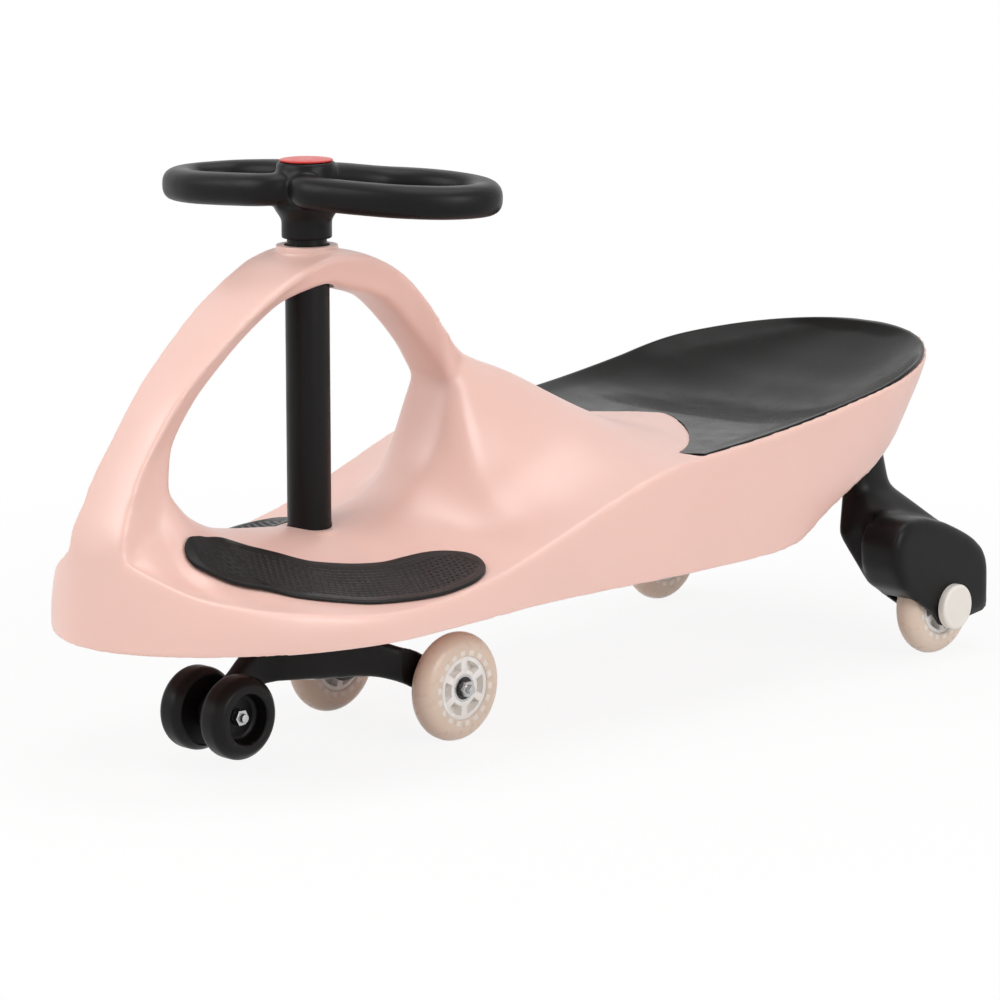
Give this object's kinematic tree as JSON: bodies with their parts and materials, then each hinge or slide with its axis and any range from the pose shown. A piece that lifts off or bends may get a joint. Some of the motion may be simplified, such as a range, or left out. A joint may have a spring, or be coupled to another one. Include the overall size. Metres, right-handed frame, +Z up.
{
  "type": "wiggle car",
  "caption": "Child's ride-on wiggle car: moulded body with a steering column through an open arch, a swinging front bracket on road and safety wheels, a dished seat and rear legs.",
  "frame": {"origin": "Middle of the overall box, on the ground the wheels stand on.", "axes": "+X towards the nose, +Y to the rider's left, +Z up."},
  "size_m": [0.8059, 0.3212, 0.404],
  "materials": {
    "body_plastic": "satin moulded",
    "seat_skin": "soft-touch matte",
    "foot_rubber": "matte with dimples",
    "black_plastic": "satin moulded",
    "red_plastic": "semi-gloss",
    "cap_plastic": "semi-gloss",
    "wheel_tyre": "translucent cast polyurethane",
    "wheel_hub": "translucent moulded",
    "bearing_nylon": "plain",
    "fastener_steel": "zinc plated"
  },
  "bodies": {
    "chassis": {"body_shell": "body_plastic", "seat_pad": "seat_skin", "foot_pad_left": "foot_rubber", "foot_pad_right": "foot_rubber", "upper_bush": "bearing_nylon", "lower_bush": "bearing_nylon", "rear_leg_left": "black_plastic", "rear_leg_right": "black_plastic", "leg_screws": "fastener_steel", "rear_axle_bolts": "fastener_steel", "rear_axle_nuts": "fastener_steel", "rear_axle_cap_left": "cap_plastic", "rear_axle_cap_right": "cap_plastic", "rear_wheel_spacers": "bearing_nylon"},
    "steering": {"steering_wheel": "black_plastic", "hub_cap": "red_plastic", "hub_bolt": "fastener_steel", "hub_washer": "fastener_steel", "steering_column": "black_plastic", "column_bolt": "fastener_steel", "column_washer": "fastener_steel", "thrust_washer": "bearing_nylon", "front_bracket": "black_plastic", "front_axle_bolts": "fastener_steel", "front_axle_nuts": "fastener_steel", "front_wheel_spacers": "bearing_nylon", "safety_axle_bolt": "fastener_steel", "safety_axle_nut": "fastener_steel"},
    "front_wheel_left": {"front_tyre_left": "wheel_tyre", "front_hub_left": "wheel_hub", "front_bearings_left": "fastener_steel", "front_bearing_spacer_left": "fastener_steel"},
    "front_wheel_right": {"front_tyre_right": "wheel_tyre", "front_hub_right": "wheel_hub", "front_bearings_right": "fastener_steel", "front_bearing_spacer_right": "fastener_steel"},
    "rear_wheel_left": {"rear_tyre_left": "wheel_tyre", "rear_hub_left": "wheel_hub", "rear_bearings_left": "fastener_steel", "rear_bearing_spacer_left": "fastener_steel"},
    "rear_wheel_right": {"rear_tyre_right": "wheel_tyre", "rear_hub_right": "wheel_hub", "rear_bearings_right": "fastener_steel", "rear_bearing_spacer_right": "fastener_steel"},
    "safety_wheel_left_body": {"safety_wheel_left": "black_plastic"},
    "safety_wheel_right_body": {"safety_wheel_right": "black_plastic"}
  },
  "joints": [
    {"name": "steering_turn", "type": "hinge", "parent": "chassis", "child": "steering", "pos_m": [0.2015, 0, 0.2], "axis": [0, 0, 1], "continuous": true},
    {"name": "front_wheel_left_spin", "type": "hinge", "parent": "steering", "child": "front_wheel_left", "pos_m": [0.123, 0.061, 0.038], "axis": [0, 1, 0], "continuous": true},
    {"name": "front_wheel_right_spin", "type": "hinge", "parent": "steering", "child": "front_wheel_right", "pos_m": [0.123, -0.061, 0.038], "axis": [0, 1, 0], "continuous": true},
    {"name": "safety_wheel_left_spin", "type": "hinge", "parent": "steering", "child": "safety_wheel_left_body", "pos_m": [0.288, 0.02, 0.039], "axis": [0, 1, 0], "continuous": true},
    {"name": "safety_wheel_right_spin", "type": "hinge", "parent": "steering", "child": "safety_wheel_right_body", "pos_m": [0.288, -0.02, 0.039], "axis": [0, 1, 0], "continuous": true},
    {"name": "rear_wheel_left_spin", "type": "hinge", "parent": "chassis", "child": "rear_wheel_left", "pos_m": [-0.314, 0.136, 0.038], "axis": [0, 1, 0], "continuous": true},
    {"name": "rear_wheel_right_spin", "type": "hinge", "parent": "chassis", "child": "rear_wheel_right", "pos_m": [-0.314, -0.136, 0.038], "axis": [0, 1, 0], "continuous": true}
  ]
}
